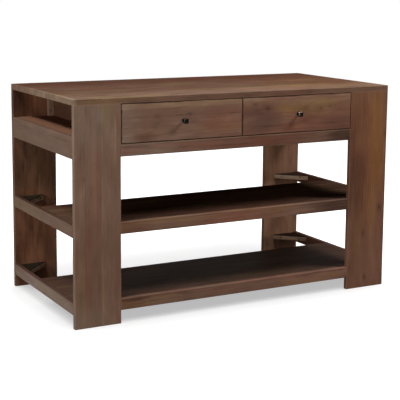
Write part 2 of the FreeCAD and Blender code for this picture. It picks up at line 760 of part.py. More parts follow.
def make_drawers():
    """Left drawer with its slides, and the right drawer as its twin."""
    drawer_side = make_drawer_side()
    twins = [make_drawer_front(), make_drawer_back(), make_drawer_bottom(), make_knob(), make_knob_bolt()]
    for piece in (drawer_side, *make_slide()):
        inner = mirrored(piece.Label.replace("_end_", "_middle_"), piece, "x", bay_middle)
        twins.extend((piece, inner))
    for piece in twins:
        other_end(piece)


make_top()
make_legs()
make_drawer_bay()
make_end_slots()
for level_name, level_top in levels:
    make_shelf(level_name, level_top)
make_frame_screws()
make_loose_tenons()
make_drawers()
doc.recompute()

for item in doc.Objects:
    if "Invalid" in item.State or "Error" in item.State:
        raise RuntimeError(f"{item.Label} failed: {item.State}")
for label, item in parts.items():
    if item.Shape.isNull() or not item.Shape.isValid():
        raise RuntimeError(f"{label} has no valid shape")

os.makedirs("parts", exist_ok=True)
for label, item in parts.items():
    item.Shape.exportStep(f"parts/{label}.step")
print(len(parts), "sub-parts written")
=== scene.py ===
import json
import math
import bpy
from mathutils import Matrix, Vector

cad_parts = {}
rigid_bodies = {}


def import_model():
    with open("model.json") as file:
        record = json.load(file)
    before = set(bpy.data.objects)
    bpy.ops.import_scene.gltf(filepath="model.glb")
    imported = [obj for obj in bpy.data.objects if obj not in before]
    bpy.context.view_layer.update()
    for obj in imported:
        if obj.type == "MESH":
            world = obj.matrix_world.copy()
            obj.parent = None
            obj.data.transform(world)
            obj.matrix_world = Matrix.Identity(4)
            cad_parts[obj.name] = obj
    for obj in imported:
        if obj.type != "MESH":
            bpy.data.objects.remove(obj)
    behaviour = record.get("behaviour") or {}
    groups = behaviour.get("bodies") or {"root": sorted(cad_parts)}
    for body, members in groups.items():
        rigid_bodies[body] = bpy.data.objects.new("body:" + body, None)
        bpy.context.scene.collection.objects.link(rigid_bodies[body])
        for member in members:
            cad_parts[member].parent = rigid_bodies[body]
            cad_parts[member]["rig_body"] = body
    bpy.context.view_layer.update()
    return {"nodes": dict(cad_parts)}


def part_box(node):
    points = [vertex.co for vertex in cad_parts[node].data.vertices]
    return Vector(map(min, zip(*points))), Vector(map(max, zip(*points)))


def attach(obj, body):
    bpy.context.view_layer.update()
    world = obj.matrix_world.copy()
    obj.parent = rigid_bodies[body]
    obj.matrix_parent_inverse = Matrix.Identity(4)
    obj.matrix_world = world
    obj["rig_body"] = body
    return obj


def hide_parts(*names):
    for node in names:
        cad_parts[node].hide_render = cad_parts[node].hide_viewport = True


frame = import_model()
nodes = frame["nodes"]
print("frame loaded,", len(nodes), "nodes")


# shader node helpers

def put(tree, kind, inputs=None, **settings):
    node = tree.nodes.new(kind)
    for name, value in settings.items():
        setattr(node, name, value)
    for socket, value in (inputs or {}).items():
        if isinstance(value, bpy.types.NodeSocket):
            tree.links.new(value, node.inputs[socket])
        else:
            node.inputs[socket].default_value = value
    return node


def calc(tree, operation, *values):
    return put(tree, "ShaderNodeMath", dict(enumerate(values)), operation=operation).outputs[0]


def vectorCalc(tree, operation, *values):
    node = put(tree, "ShaderNodeVectorMath", dict(enumerate(values)), operation=operation)
    return node.outputs["Value" if operation == "LENGTH" else "Vector"]


def ease(tree, value, low, high, toLow=0.0, toHigh=1.0):  # smooth step between two values
    inputs = {"Value": value, "From Min": low, "From Max": high, "To Min": toLow, "To Max": toHigh}
    return put(tree, "ShaderNodeMapRange", inputs, interpolation_type="SMOOTHSTEP").outputs["Result"]


def tint(tree, factor, low, high, mode="MIX"):  # mixes two colours
    node = put(tree, "ShaderNodeMix", {0: factor, 6: low, 7: high}, data_type="RGBA", blend_type=mode)
    return node.outputs[2]


def grainNoise(tree, point, scale, detail=2.0):  # noise stretched along the grain, centred on zero
    stretched = vectorCalc(tree, "MULTIPLY", point, scale)
    node = put(tree, "ShaderNodeTexNoise", {"Vector": stretched, "Scale": 1.0, "Detail": detail})
    return calc(tree, "SUBTRACT", node.outputs[0], 0.5)


def paint(red, green, blue):  # display colour, 0 to 255, as the linear colour that shaders take
    shares = [value / 255 for value in (red, green, blue)]
    linear = [share / 12.92 if share <= 0.04045 else ((share + 0.055) / 1.055) ** 2.4 for share in shares]
    return (*linear, 1.0)


def newGroup(name, inputs, outputs):
    tree = bpy.data.node_groups.new(name, "ShaderNodeTree")
    for direction, sockets in (("INPUT", inputs), ("OUTPUT", outputs)):
        for label, kind in sockets:
            tree.interface.new_socket(name=label, in_out=direction, socket_type="NodeSocket" + kind)
    return tree, tree.nodes.new("NodeGroupInput").outputs, tree.nodes.new("NodeGroupOutput").inputs


def useGroup(tree, group, inputs):
    return put(tree, "ShaderNodeGroup", inputs, node_tree=group)


def newMaterial(name):
    material = bpy.data.materials.new(name)
    material.use_nodes = True
    tree = material.node_tree
    tree.nodes.clear()
    shader = tree.nodes.new("ShaderNodeBsdfPrincipled")
    put(tree, "ShaderNodeOutputMaterial", {"Surface": shader.outputs[0]})
    return material, tree, shader


# wood grain: boards glued up from strips, each strip with growth rings of its own

grainLook = {
    "pithDistance": 0.045,  # trunk centre under the face of a strip
    "ringSpacing": 0.0068,
    "bend": 0.026,  # how far rings wander along a board
    "waver": 0.0030,
    "bendScale": (4.0, 4.0, 1.3),
    "waverScale": (30.0, 30.0, 6.0),
    "mottleScale": (24.0, 24.0, 8.0),
    "streakScale": (46.0, 46.0, 1.3),
    "veinScale": (95.0, 95.0, 5.0),
    "fibreScale": (380.0, 380.0, 7.0),
    "poreScale": (900.0, 900.0, 24.0),
    "hueScale": (13.0, 13.0, 2.1),
    "stripTone": 0.14,
    "mottleTone": 0.95,
    "streakTone": 0.26,
    "veinTone": 0.20,
    "fibreTone": 0.34,
    "poreTone": -0.18,
    "hueSwing": 2.4,
}


def makeGrainGroup(look):
    inputs = [("Point", "Vector")] + [(label, "Float") for label in ("Strip", "Seed", "Pull", "Figure")]
    outputs = [(label, "Float") for label in ("Tone", "Hue", "Height", "Seam")]
    tree, given, result = newGroup("boardGrain", inputs, outputs)
    place = put(tree, "ShaderNodeSeparateXYZ", {0: given["Point"]}).outputs  # across, deep, along
    stripCount = calc(tree, "ADD", calc(tree, "DIVIDE", place["X"], given["Strip"]), 0.31)
    inStrip = calc(tree, "FRACT", stripCount)
    stripKey = calc(tree, "MULTIPLY_ADD", given["Seed"], 37.7, calc(tree, "FLOOR", stripCount))
    chance = put(tree, "ShaderNodeTexWhiteNoise", {"W": stripKey}, noise_dimensions="1D").outputs["Color"]
    chances = put(tree, "ShaderNodeSeparateColor", {0: chance}).outputs
    shift = vectorCalc(tree, "MULTIPLY", chance, (0.9, 0.7, 11.0))
    seedShift = put(tree, "ShaderNodeCombineXYZ", {"Z": given["Seed"]}).outputs[0]
    shift = vectorCalc(tree, "ADD", shift, seedShift)
    shifted = vectorCalc(tree, "ADD", given["Point"], shift)

    # distance to the trunk's centre, bent along the board and round the knots
    offCentre = calc(tree, "SUBTRACT", inStrip, calc(tree, "MULTIPLY_ADD", chances["Red"], 2.4, -0.7))
    sideways = calc(tree, "MULTIPLY", offCentre, given["Strip"])
    pith = calc(tree, "MULTIPLY_ADD", chances["Green"], 0.05, look["pithDistance"])
    deep = calc(tree, "ADD", place["Y"], pith)
    radius = vectorCalc(tree, "LENGTH", put(tree, "ShaderNodeCombineXYZ", {0: sideways, 1: deep}).outputs[0])
    radius = calc(tree, "MULTIPLY_ADD", grainNoise(tree, shifted, look["bendScale"]), look["bend"], radius)
    radius = calc(tree, "MULTIPLY_ADD", grainNoise(tree, shifted, look["waverScale"]), look["waver"], radius)
    radius = calc(tree, "ADD", radius, given["Pull"])
    spacing = calc(tree, "MULTIPLY_ADD", chances["Blue"], 0.8, 0.6)
    spacing = calc(tree, "MULTIPLY", spacing, look["ringSpacing"])
    turn = calc(tree, "FRACT", calc(tree, "DIVIDE", radius, spacing))
    late = calc(tree, "MULTIPLY", ease(tree, turn, 0.25, 0.86), ease(tree, turn, 0.88, 1.0, 1.0, 0.0))

    # mottling, streaks, fibres, pores and the glue line between strips
    mottle = grainNoise(tree, shifted, look["mottleScale"], 3.0)
    streak = grainNoise(tree, shifted, look["streakScale"], 3.0)
    vein = grainNoise(tree, shifted, look["veinScale"], 3.0)
    fibre = grainNoise(tree, shifted, look["fibreScale"])
    pore = ease(tree, grainNoise(tree, shifted, look["poreScale"], 1.0), 0.13, 0.22)
    toSeam = calc(tree, "MINIMUM", inStrip, calc(tree, "SUBTRACT", 1.0, inStrip))
    seam = ease(tree, calc(tree, "MULTIPLY", toSeam, given["Strip"]), 0.0002, 0.0014, 1.0, 0.0)

    tone = calc(tree, "MULTIPLY_ADD", calc(tree, "SUBTRACT", chances["Green"], 0.5), look["stripTone"], 0.55)
    tone = calc(tree, "SUBTRACT", tone, calc(tree, "MULTIPLY", late, given["Figure"]))
    parts = {"mottle": mottle, "streak": streak, "vein": vein, "fibre": fibre, "pore": pore}
    for name, part in parts.items():
        tone = calc(tree, "MULTIPLY_ADD", part, look[name + "Tone"], tone)
    hue = calc(tree, "MULTIPLY_ADD", chances["Blue"], 0.4, 0.3)
    hue = calc(tree, "MULTIPLY_ADD", grainNoise(tree, shifted, look["hueScale"]), look["hueSwing"], hue)
    height = calc(tree, "MULTIPLY_ADD", fibre, 0.5, calc(tree, "MULTIPLY", late, 0.35))
    height = calc(tree, "MULTIPLY_ADD", pore, -0.9, height)
    height = calc(tree, "MULTIPLY_ADD", seam, -0.8, height)
    for label, socket in (("Tone", tone), ("Hue", hue), ("Height", height), ("Seam", seam)):
        tree.links.new(socket, result[label])
    return tree


def makeKnotGroup():
    inputs = (("Point", "Vector"), ("Centre", "Vector"), ("Radius", "Float"))
    tree, given, result = newGroup("knot", inputs, (("Pull", "Float"), ("Dark", "Float")))
    away = vectorCalc(tree, "SUBTRACT", given["Point"], given["Centre"])
    distance = vectorCalc(tree, "LENGTH", vectorCalc(tree, "MULTIPLY", away, (1.0, 0.0, 0.6)))
    ragged = calc(tree, "MULTIPLY", grainNoise(tree, given["Point"], (110.0, 0.0, 70.0)), 1.3)
    share = calc(tree, "ADD", calc(tree, "DIVIDE", distance, given["Radius"]), ragged)
    fade = calc(tree, "EXPONENT", calc(tree, "MULTIPLY", share, -0.42))
    pull = calc(tree, "MULTIPLY", calc(tree, "MULTIPLY", fade, given["Radius"]), 1.2)
    tree.links.new(pull, result["Pull"])
    core = ease(tree, share, 0.2, 1.3, 1.0, 0.0)
    halo = ease(tree, share, 0.6, 3.6, 0.45, 0.0)
    tree.links.new(calc(tree, "MAXIMUM", core, halo), result["Dark"])
    return tree


def makePatchGroup():  # a soft patch of changed colour, where the stain took differently, and in places painted light or shade
    inputs = [(label, "Vector") for label in ("Point", "Centre", "Spread")]
    inputs += [("Colour", "Color"), ("Change", "Color")]
    tree, given, result = newGroup("stainAndShadePatch", inputs, (("Colour", "Color"),))
    away = vectorCalc(tree, "SUBTRACT", given["Point"], given["Centre"])
    distance = vectorCalc(tree, "LENGTH", vectorCalc(tree, "MULTIPLY", away, given["Spread"]))
    cloud = grainNoise(tree, given["Point"], (22.0, 0.0, 4.0), 3.0)
    cloudy = calc(tree, "MULTIPLY_ADD", cloud, 0.9, distance)
    share = ease(tree, cloudy, 1.05, 0.2)
    tree.links.new(tint(tree, share, given["Colour"], given["Change"], "MULTIPLY"), result["Colour"])
    return tree


def makeRimGroup():  # distance to the nearest arris of a board's box
    inputs = (("Point", "Vector"), ("Centre", "Vector"), ("Half", "Vector"))
    tree, given, result = newGroup("rimDistance", inputs, (("Distance", "Float"),))
    out = vectorCalc(tree, "ABSOLUTE", vectorCalc(tree, "SUBTRACT", given["Point"], given["Centre"]))
    inward = vectorCalc(tree, "SUBTRACT", given["Half"], out)
    inward = put(tree, "ShaderNodeSeparateXYZ", {0: inward}).outputs
    nearer = calc(tree, "MINIMUM", inward["X"], inward["Y"])
    farther = calc(tree, "MAXIMUM", inward["X"], inward["Y"])
    second = calc(tree, "MINIMUM", farther, inward["Z"])
    second = calc(tree, "MAXIMUM", nearer, second)  # middle one of three
    tree.links.new(second, result["Distance"])
    return tree


grainGroup = makeGrainGroup(grainLook)
knotGroup = makeKnotGroup()
patchGroup = makePatchGroup()
rimGroup = makeRimGroup()

stains = {  # display colours: dark growth, body, pale growth, and the tints that drift through the boards
    "ash": {
        "dark": (82, 62, 50), "body": (109, 84, 69), "pale": (130, 104, 87),
        "red": (110, 77, 62), "gold": (114, 90, 67),
    },
    "walnut": {
        "dark": (78, 56, 46), "body": (107, 80, 66), "pale": (128, 101, 84),
        "red": (112, 76, 62), "gold": (114, 88, 65),
    },
    "russet": {
        "dark": (72, 48, 37), "body": (108, 75, 59), "pale": (126, 93, 71),
        "red": (106, 68, 54), "gold": (117, 84, 57),
    },
    "shade": {  # shelves, the darkest stain: painted shade for the shadow under the drawers and the top
        "dark": (44, 31, 24), "body": (66, 48, 39), "pale": (86, 66, 54),
        "red": (68, 46, 37), "gold": (72, 55, 40),
    },
    "birch": {  # braces and corner blocks, the palest
        "dark": (156, 126, 104), "body": (198, 166, 140), "pale": (214, 184, 158),
        "red": (194, 154, 130), "gold": (206, 170, 132),
    },
}
knotColour = (46, 30, 23)
patchTints = {
    "oat": (131, 105, 88), "drift": (112, 90, 76), "honey": (116, 82, 55), "sand": (118, 90, 73),
    "rose": (109, 74, 59), "chestnut": (95, 66, 53), "umberShade": (80, 53, 42), "darkToneAndShade": (70, 50, 40),
    "gapShade": (42, 31, 25), "mist": (122, 101, 88), "ashen": (130, 109, 92), "copper": (118, 80, 62),
    "fawn": (101, 75, 61), "tan": (94, 69, 56), "blush": (113, 80, 68), "wheat": (114, 82, 60),
    "plum": (92, 66, 56), "toast": (106, 76, 58), "litAmber": (126, 88, 67), "rust": (136, 92, 68),
    "slotShade": (66, 42, 31), "moss": (52, 44, 35), "bark": (50, 37, 30), "pearl": (131, 111, 101),
    "cedar": (106, 69, 50),
}
axes = {"x": Vector((1, 0, 0)), "y": Vector((0, 1, 0)), "z": Vector((0, 0, 1))}


def axis(named):  # a letter, or a direction of its own
    return axes[named] if isinstance(named, str) else named


def boardPlace(tree, low, high, look):  # point in a board's own axes: across, deep and along the grain
    along, across = axis(look["along"]), axis(look["across"])
    turn = Matrix((across, along.cross(across), along))
    pairs = list(zip(low, high))
    corners = [turn @ Vector((x, y, z)) for x in pairs[0] for y in pairs[1] for z in pairs[2]]
    start = Vector([min(corner[i] for corner in corners) for i in range(3)])
    here = tree.nodes.new("ShaderNodeTexCoord").outputs["Object"]
    settings = {"Vector": here, "Location": -start, "Rotation": turn.to_euler()}
    point = put(tree, "ShaderNodeMapping", settings).outputs[0]
    return here, point, lambda spot: turn @ Vector(spot) - start


def finishWood(tree, shader, grain, colour, look):
    tree.links.new(colour, shader.inputs["Base Color"])
    rough = calc(tree, "MULTIPLY_ADD", grain["Height"], look["roughSwing"], look["rough"])
    tree.links.new(rough, shader.inputs["Roughness"])
    shader.inputs["Specular IOR Level"].default_value = look["gloss"]
    settings = {"Height": grain["Height"], "Strength": look["bump"], "Distance": look["relief"]}
    tree.links.new(put(tree, "ShaderNodeBump", settings).outputs[0], shader.inputs["Normal"])


stainFinish = {
    "rough": 0.62, "roughSwing": 0.12, "gloss": 0.03, "bump": 0.25, "relief": 0.0006,
    "rim": "pale", "wearAndShade": 0.45, "wearAndShadeWidth": 0.0045,
    "figure": 0.16, "tone": 0.0, "hue": 1.0, "patchDepth": 0.0,
}


def stainedWood(name, low, high, look):
    look = dict(stainFinish, **look)
    material, tree, shader = newMaterial(name)
    here, point, toBoard = boardPlace(tree, low, high, look)
    pull, dark = 0.0, 0.0
    for spot, radius, darkness in look.get("knots", ()):
        inputs = {"Point": point, "Centre": toBoard(spot), "Radius": radius}
        knot = useGroup(tree, knotGroup, inputs).outputs
        pull = calc(tree, "ADD", knot["Pull"], pull)
        dark = calc(tree, "MAXIMUM", calc(tree, "MULTIPLY", knot["Dark"], darkness), dark)
    inputs = {
        "Point": point, "Strip": look["strip"], "Seed": look["seed"],
        "Pull": pull, "Figure": look["figure"],
    }
    grain = useGroup(tree, grainGroup, inputs).outputs
    stain = {part: paint(*colour) for part, colour in stains[look["stain"]].items()}
    tone = calc(tree, "ADD", grain["Tone"], look["tone"])
    hue = calc(tree, "MULTIPLY_ADD", grain["Hue"], look["hue"], 0.5 - 0.5 * look["hue"])
    body = tint(tree, ease(tree, hue, 0.52, 1.0), stain["body"], stain["red"])
    body = tint(tree, ease(tree, hue, 0.46, 0.05), body, stain["gold"])
    colour = tint(tree, ease(tree, tone, 0.5, 0.0), body, stain["dark"])
    colour = tint(tree, ease(tree, tone, 0.5, 1.0), colour, stain["pale"])
    for spot, wide, long, patchTint, *deep in look.get("patches", ()):
        change = [new / old for new, old in zip(paint(*patchTints[patchTint]), stain["body"])]
        spread = (1 / wide, deep[0] if deep else look["patchDepth"], 1 / long)
        inputs = {
            "Colour": colour, "Point": point, "Centre": toBoard(spot),
            "Spread": spread, "Change": change,
        }
        colour = useGroup(tree, patchGroup, inputs).outputs[0]
    shade = calc(tree, "MAXIMUM", calc(tree, "MULTIPLY", grain["Seam"], 0.2), dark)
    colour = tint(tree, shade, colour, paint(*knotColour))
    # arrises rubbed paler, and on the drawer fronts a painted shade along the arrises that darkens the gaps
    # round the drawers
    inputs = {"Point": here, "Centre": (low + high) / 2, "Half": (high - low) / 2}
    rim = useGroup(tree, rimGroup, inputs).outputs[0]
    rim = calc(tree, "MULTIPLY_ADD", grainNoise(tree, point, (60.0, 60.0, 14.0)), 0.006, rim)
    rimWearAndPaintedLight = ease(tree, rim, 0.0004, look["wearAndShadeWidth"], look["wearAndShade"], 0.0)
    colour = tint(tree, rimWearAndPaintedLight, colour, paint(*{**stains[look["stain"]], **patchTints}[look["rim"]]))
    finishWood(tree, shader, grain, colour, look)
    return material


def dress(item, material):  # one finish all over a node or a piece
    item.data.materials.clear()
    item.data.materials.append(material)


frontFace = -0.352
boards = {
    "top_board": {
        "along": "x", "across": "y", "stain": "walnut", "strip": 0.073, "seed": 1.7,
        "gloss": 0.0, "patchDepth": 250.0, "wearAndShade": 0.2,
        "patches": (
            ((0.0, -0.30, 0.914), 0.20, 2.2, "oat"), ((0.0, 0.34, 0.914), 0.26, 2.2, "chestnut"),
            ((0.55, -0.05, 0.914), 0.45, 0.45, "toast"), ((-0.753, -0.1, 0.902), 0.8, 0.02, "ashen", 0.0),
            ((0.22, frontFace, 0.902), 0.005, 0.90, "fawn", 0.0),
        ),
    },
    "front_left_leg": {
        "along": "z", "across": "x", "stain": "ash", "strip": 0.067, "seed": 2.3,
        "hue": 0.7, "figure": 0.05,
        "knots": (((-0.711, frontFace, 0.599), 0.004, 0.3),),
        "patches": (
            ((-0.65, frontFace, 0.24), 0.30, 0.28, "fawn"), ((-0.70, frontFace, 0.84), 0.15, 0.22, "drift"),
            ((-0.71, frontFace, 0.02), 0.12, 0.10, "drift"),
            ((-0.640, frontFace, 0.84), 0.02, 0.05, "drift"),
            ((-0.753, frontFace, 0.45), 0.004, 1.2, "mist"),
            ((-0.665, frontFace, 0.60), 0.022, 0.22, "sand"),
        ),
    },
    "front_right_leg": {
        "along": "z", "across": "x", "stain": "russet", "strip": 0.106, "seed": 3.1,
        "hue": 0.5, "tone": 0.08,
        "knots": (
            ((0.723, frontFace, 0.362), 0.006, 0.7), ((0.638, frontFace, 0.251), 0.006, 0.6),
            ((0.651, frontFace, 0.046), 0.005, 0.6), ((0.753, frontFace, 0.694), 0.007, 0.9),
        ),
        "patches": (
            ((0.56, frontFace, 0.50), 0.10, 0.70, "chestnut"),
            ((0.60, frontFace, 0.50), 0.09, 0.18, "chestnut"),
            ((0.70, frontFace, 0.68), 0.06, 0.40, "honey"), ((0.68, frontFace, 0.36), 0.03, 0.20, "wheat"),
            ((0.65, frontFace, 0.62), 0.40, 0.48, "cedar"),
        ),
    },
    "back_left_leg": {
        "along": "z", "across": "x", "stain": "russet", "strip": 0.067, "seed": 4.9,
        "tone": -0.18, "hue": 0.6, "figure": 0.06,
        "patches": (
            # in the end slot the leg is painted lighter in the middle, painted light, and darker at the
            # left, painted shade; the dark patches lower down the left edge are painted shade too
            ((-0.62, 0.358, 0.84), 0.12, 0.14, "rust"), ((-0.75, 0.358, 0.84), 0.11, 0.14, "slotShade"),
            ((-0.66, 0.358, 0.55), 0.16, 0.25, "wheat"), ((-0.65, 0.358, 0.20), 0.3, 0.30, "rust"),
            ((-0.75, 0.358, 0.54), 0.11, 0.22, "umberShade"), ((-0.75, 0.358, 0.20), 0.11, 0.24, "umberShade"),
            ((-0.65, 0.358, 0.84), 0.010, 0.10, "litAmber"),
            ((-0.753, 0.368, 0.45), 0.004, 1.2, "mist"),
        ),
    },
    "back_right_leg": {
        "along": "z", "across": "x", "stain": "russet", "strip": 0.067, "seed": 5.2,
        "tone": 0.30, "hue": 0.3, "figure": 0.08,
        # painted light: the pale strip lightens the left of the leg where a shadow falls
        "patches": (((0.57, 0.358, 0.62), 0.05, 0.50, "litAmber"),),
    },
    "drawer_rail": {
        "along": "x", "across": "z", "stain": "walnut", "strip": 0.060, "seed": 6.4,
        "patches": (
            ((-0.5, frontFace, 0.70), 0.2, 0.30, "drift"), ((0.15, frontFace, 0.70), 0.2, 0.35, "chestnut"),
            ((0.53, frontFace, 0.70), 0.2, 0.16, "darkToneAndShade"),
        ),
    },
    "back_apron": {"along": "x", "across": "z", "stain": "walnut", "strip": 0.070, "seed": 7.6},
    "drawer_divider": {"along": "y", "across": "z", "stain": "walnut", "strip": 0.070, "seed": 8.1},
    "left_drawer_front": {
        "along": "x", "across": "z", "stain": "walnut", "strip": 0.036, "seed": 9.5,
        "hue": 0.6, "tone": 0.06,
        # painted shade along the arrises darkens the gaps round the drawer
        "rim": "gapShade", "wearAndShade": 0.9, "wearAndShadeWidth": 0.0034, "figure": 0.10,
        "knots": (
            ((-0.247, frontFace, 0.834), 0.004, 0.6), ((-0.396, frontFace, 0.833), 0.005, 0.4),
            ((-0.405, frontFace, 0.793), 0.005, 0.4), ((-0.329, frontFace, 0.765), 0.006, 0.2),
        ),
        "patches": (
            ((-0.28, frontFace, 0.885), 0.035, 1.2, "sand"), ((-0.54, frontFace, 0.80), 0.2, 0.10, "drift"),
            ((-0.09, frontFace, 0.785), 0.07, 0.14, "rose"),
            ((-0.45, frontFace, 0.755), 0.03, 0.08, "chestnut"),
        ),
    },
    "right_drawer_front": {
        "along": "x", "across": "z", "stain": "russet", "strip": 0.052, "seed": 10.2,
        # painted shade along the arrises darkens the gaps round the drawer
        "rim": "gapShade", "wearAndShade": 0.9, "wearAndShadeWidth": 0.0034, "figure": 0.10,
        "knots": (
            ((0.393, frontFace, 0.828), 0.008, 0.4), ((0.440, frontFace, 0.835), 0.006, 0.4),
            ((0.124, frontFace, 0.841), 0.008, 0.55), ((0.060, frontFace, 0.857), 0.005, 0.5),
            ((0.279, frontFace, 0.851), 0.016, 0.1),
        ),
        "patches": (
            ((0.28, frontFace, 0.885), 0.04, 1.2, "sand"), ((0.09, frontFace, 0.795), 0.08, 0.15, "plum"),
            ((0.33, frontFace, 0.84), 0.05, 0.20, "wheat"),
            ((0.50, frontFace, 0.765), 0.04, 0.13, "chestnut"),
        ),
    },
    "middle_shelf_panel": {
        "along": "x", "across": "y", "stain": "shade", "strip": 0.070, "seed": 11.8, "gloss": 0.0,
        # painted shade: the dark patch darkens the back of the shelf under the drawers; the lighter left end
        # is painted light where light comes in through the end opening
        "patches": (((0.0, 0.08, 0.41), 0.36, 2.2, "darkToneAndShade"), ((-0.733, -0.1, 0.41), 0.8, 0.13, "fawn")),
    },
    "bottom_shelf_panel": {
        "along": "x", "across": "y", "stain": "shade", "strip": 0.070, "seed": 12.5, "gloss": 0.010,
        # the lighter left end is painted light where light comes in through the end opening, against the
        # painted shade of the shelf stain
        "patches": (((-0.733, -0.1, 0.10), 0.8, 0.13, "tan"),),
    },
    "middle_front_rail": {
        "along": "x", "across": "z", "stain": "walnut", "strip": 0.060, "seed": 13.3,
        "patches": (
            ((-0.53, frontFace, 0.39), 0.2, 0.16, "chestnut"), ((0.0, frontFace, 0.39), 0.2, 0.30, "rose"),
            ((0.52, frontFace, 0.39), 0.2, 0.24, "darkToneAndShade"),
        ),
    },
    "bottom_front_rail": {
        "along": "x", "across": "z", "stain": "walnut", "strip": 0.060, "seed": 14.7,
        "patches": (
            ((-0.54, frontFace, 0.08), 0.2, 0.12, "chestnut"),
            ((0.42, frontFace, 0.08), 0.2, 0.35, "blush"),
        ),
    },
    "middle_rear_rail": {"along": "x", "across": "z", "stain": "walnut", "strip": 0.060, "seed": 15.9},
    "bottom_rear_rail": {"along": "x", "across": "z", "stain": "walnut", "strip": 0.060, "seed": 16.6},
}
# the umber patch on the right middle end rail is painted shade on its inner face
for side, stain, changes, seed in (("left", "ash", ("drift", "pearl"), 20.0),
                                   ("right", "russet", ("umberShade", "rose"), 30.0)):
    sign = -1 if side == "left" else 1
    common = {"along": "y", "across": "z", "stain": stain, "strip": 0.060, "figure": 0.08}
    boards[f"{side}_bay_side"] = dict(common, seed=seed + 0.4, stain="russet", tone=0.05)
    grey = ((sign * 0.753, 0.0, 0.72), 0.1, 0.6, "drift")
    boards[f"{side}_upper_end_rail"] = dict(common, seed=seed + 1.3, strip=0.1, hue=0.4, patches=(grey,))
    endShelf = dict(common, across="x", stain="walnut", seed=seed + 2.6, tone=0.8, gloss=0.0)
    endShelf["patches"] = (((sign * 0.65, 0.0, 0.768), 0.4, 1.4, "copper"),)
    boards[f"{side}_end_shelf"] = endShelf
    lean = Vector((1, -sign, 0)).normalized()  # braces cross the rear corners
    for index, (level, change) in enumerate(zip(("middle", "bottom"), changes)):
        low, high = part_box(f"{side}_{level}_end_rail")
        rail = dict(common, seed=seed + 3.2 + index)
        # painted shade on the rail tops and along the top of each face
        rail["patches"] = [((low.x, low.y, high.z), 0.003, 3.0, "umberShade")]  # darker on top
        rail["patches"].append(((low.x, 0.0, low.z), 0.1, 0.6, change))
        boards[f"{side}_{level}_end_rail"] = rail
        low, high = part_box(f"{side}_{level}_brace")
        # painted shade on the tops of the braces, which lie in the shadow of the top and the rails
        paintedShadeTop = ((low.x, low.y, high.z), 0.005, 2.0, "moss" if side == "left" else "bark")
        brace = dict(common, along=lean, stain="birch", seed=seed + 5.7 + index, gloss=0.0, wearAndShade=0.0)
        brace["patches"] = (paintedShadeTop,)
        brace["tone"] = -0.2 if side == "left" else 0.2 - 0.55 * index
        boards[f"{side}_{level}_brace"] = brace
    for index, place in enumerate(("front", "back")):
        block = dict(common, along="z", across="x", stain="birch", tone=-0.7, wearAndShade=0.0)
        boards[f"{place}_{side}_corner_block"] = dict(block, seed=seed + 8.3 + index)
woods = {name: stainedWood(name + "_wood", *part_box(name), look) for name, look in boards.items()}
for name, material in woods.items():
    dress(nodes[name], material)
print("stained woods ready:", len(woods))


# drawer boxes: pale hardwood sides and backs, plywood bottoms

boxFinish = {"rough": 0.5, "roughSwing": 0.15, "gloss": 0.3, "bump": 0.2, "relief": 0.0005, "figure": 0.2}
boxWood = dict(boxFinish, dark=(150, 116, 82), pale=(196, 163, 124), strip=0.120)
plyWood = dict(boxFinish, dark=(168, 136, 100), pale=(204, 175, 137), strip=0.310)


def plainWood(name, low, high, look):
    material, tree, shader = newMaterial(name)
    point = boardPlace(tree, low, high, look)[1]
    inputs = {"Point": point, "Strip": look["strip"], "Seed": look["seed"], "Figure": look["figure"]}
    grain = useGroup(tree, grainGroup, inputs).outputs
    colour = tint(tree, ease(tree, grain["Tone"], 0.1, 0.9), paint(*look["dark"]), paint(*look["pale"]))
    finishWood(tree, shader, grain, colour, look)
    return material


boxParts = (("end_side", "y", "z"), ("middle_side", "y", "z"), ("back", "x", "z"), ("bottom", "x", "y"))
for offset, side in enumerate(("left", "right")):
    for index, (part, along, across) in enumerate(boxParts):
        name = f"{side}_drawer_{part}"
        look = dict(plyWood if part == "bottom" else boxWood, along=along, across=across)
        look["seed"] = 40.3 + 5 * offset + 1.7 * index
        dress(nodes[name], plainWood(name + "_wood", *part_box(name), look))
tenonLook = dict(boxWood, along="x", across="z", seed=55.1)
dress(nodes["rail_tenons"], plainWood("tenon_wood", *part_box("rail_tenons"), tenonLook))
print("drawer boxes finished")


# metals

def metal(name, look):
    material, tree, shader = newMaterial(name)
    here = tree.nodes.new("ShaderNodeTexCoord").outputs["Object"]
    brushed = grainNoise(tree, here, look["brushed"])
    blotch = grainNoise(tree, here, (90.0, 90.0, 90.0), 3.0)
    colour = tint(tree, ease(tree, blotch, -0.2, 0.25), paint(*look["low"]), paint(*look["high"]))
    if "rimWearAndPaintedLight" in look:  # painted highlight at the upper left arrises of a head
        low, high = look["rimWearAndPaintedLight"]
        inputs = {"Point": here, "Centre": (low + high) / 2, "Half": (high - low) / 2}
        rim = useGroup(tree, rimGroup, inputs).outputs[0]
        rim = ease(tree, rim, *look["highlightWidth"], 1.0, 0.0)
        offset = vectorCalc(tree, "SUBTRACT", here, (low + high) / 2)
        spot = put(tree, "ShaderNodeSeparateXYZ", {0: offset}).outputs
        upperLeft = ease(tree, calc(tree, "SUBTRACT", spot["Z"], spot["X"]), *look["highlightFrom"])
        colour = tint(tree, calc(tree, "MULTIPLY", rim, upperLeft), colour, paint(*look["paintedHighlight"]))
    tree.links.new(colour, shader.inputs["Base Color"])
    shader.inputs["Metallic"].default_value = look["metallic"]
    shader.inputs["Specular IOR Level"].default_value = look.get("gloss", 0.5)
    rough = calc(tree, "MULTIPLY_ADD", brushed, 0.25, look["rough"])
    tree.links.new(calc(tree, "MULTIPLY_ADD", blotch, 0.2, rough), shader.inputs["Roughness"])
    bump = put(tree, "ShaderNodeBump", {"Height": brushed, "Strength": 0.15, "Distance": 0.0002})
    tree.links.new(bump.outputs[0], shader.inputs["Normal"])
    return material


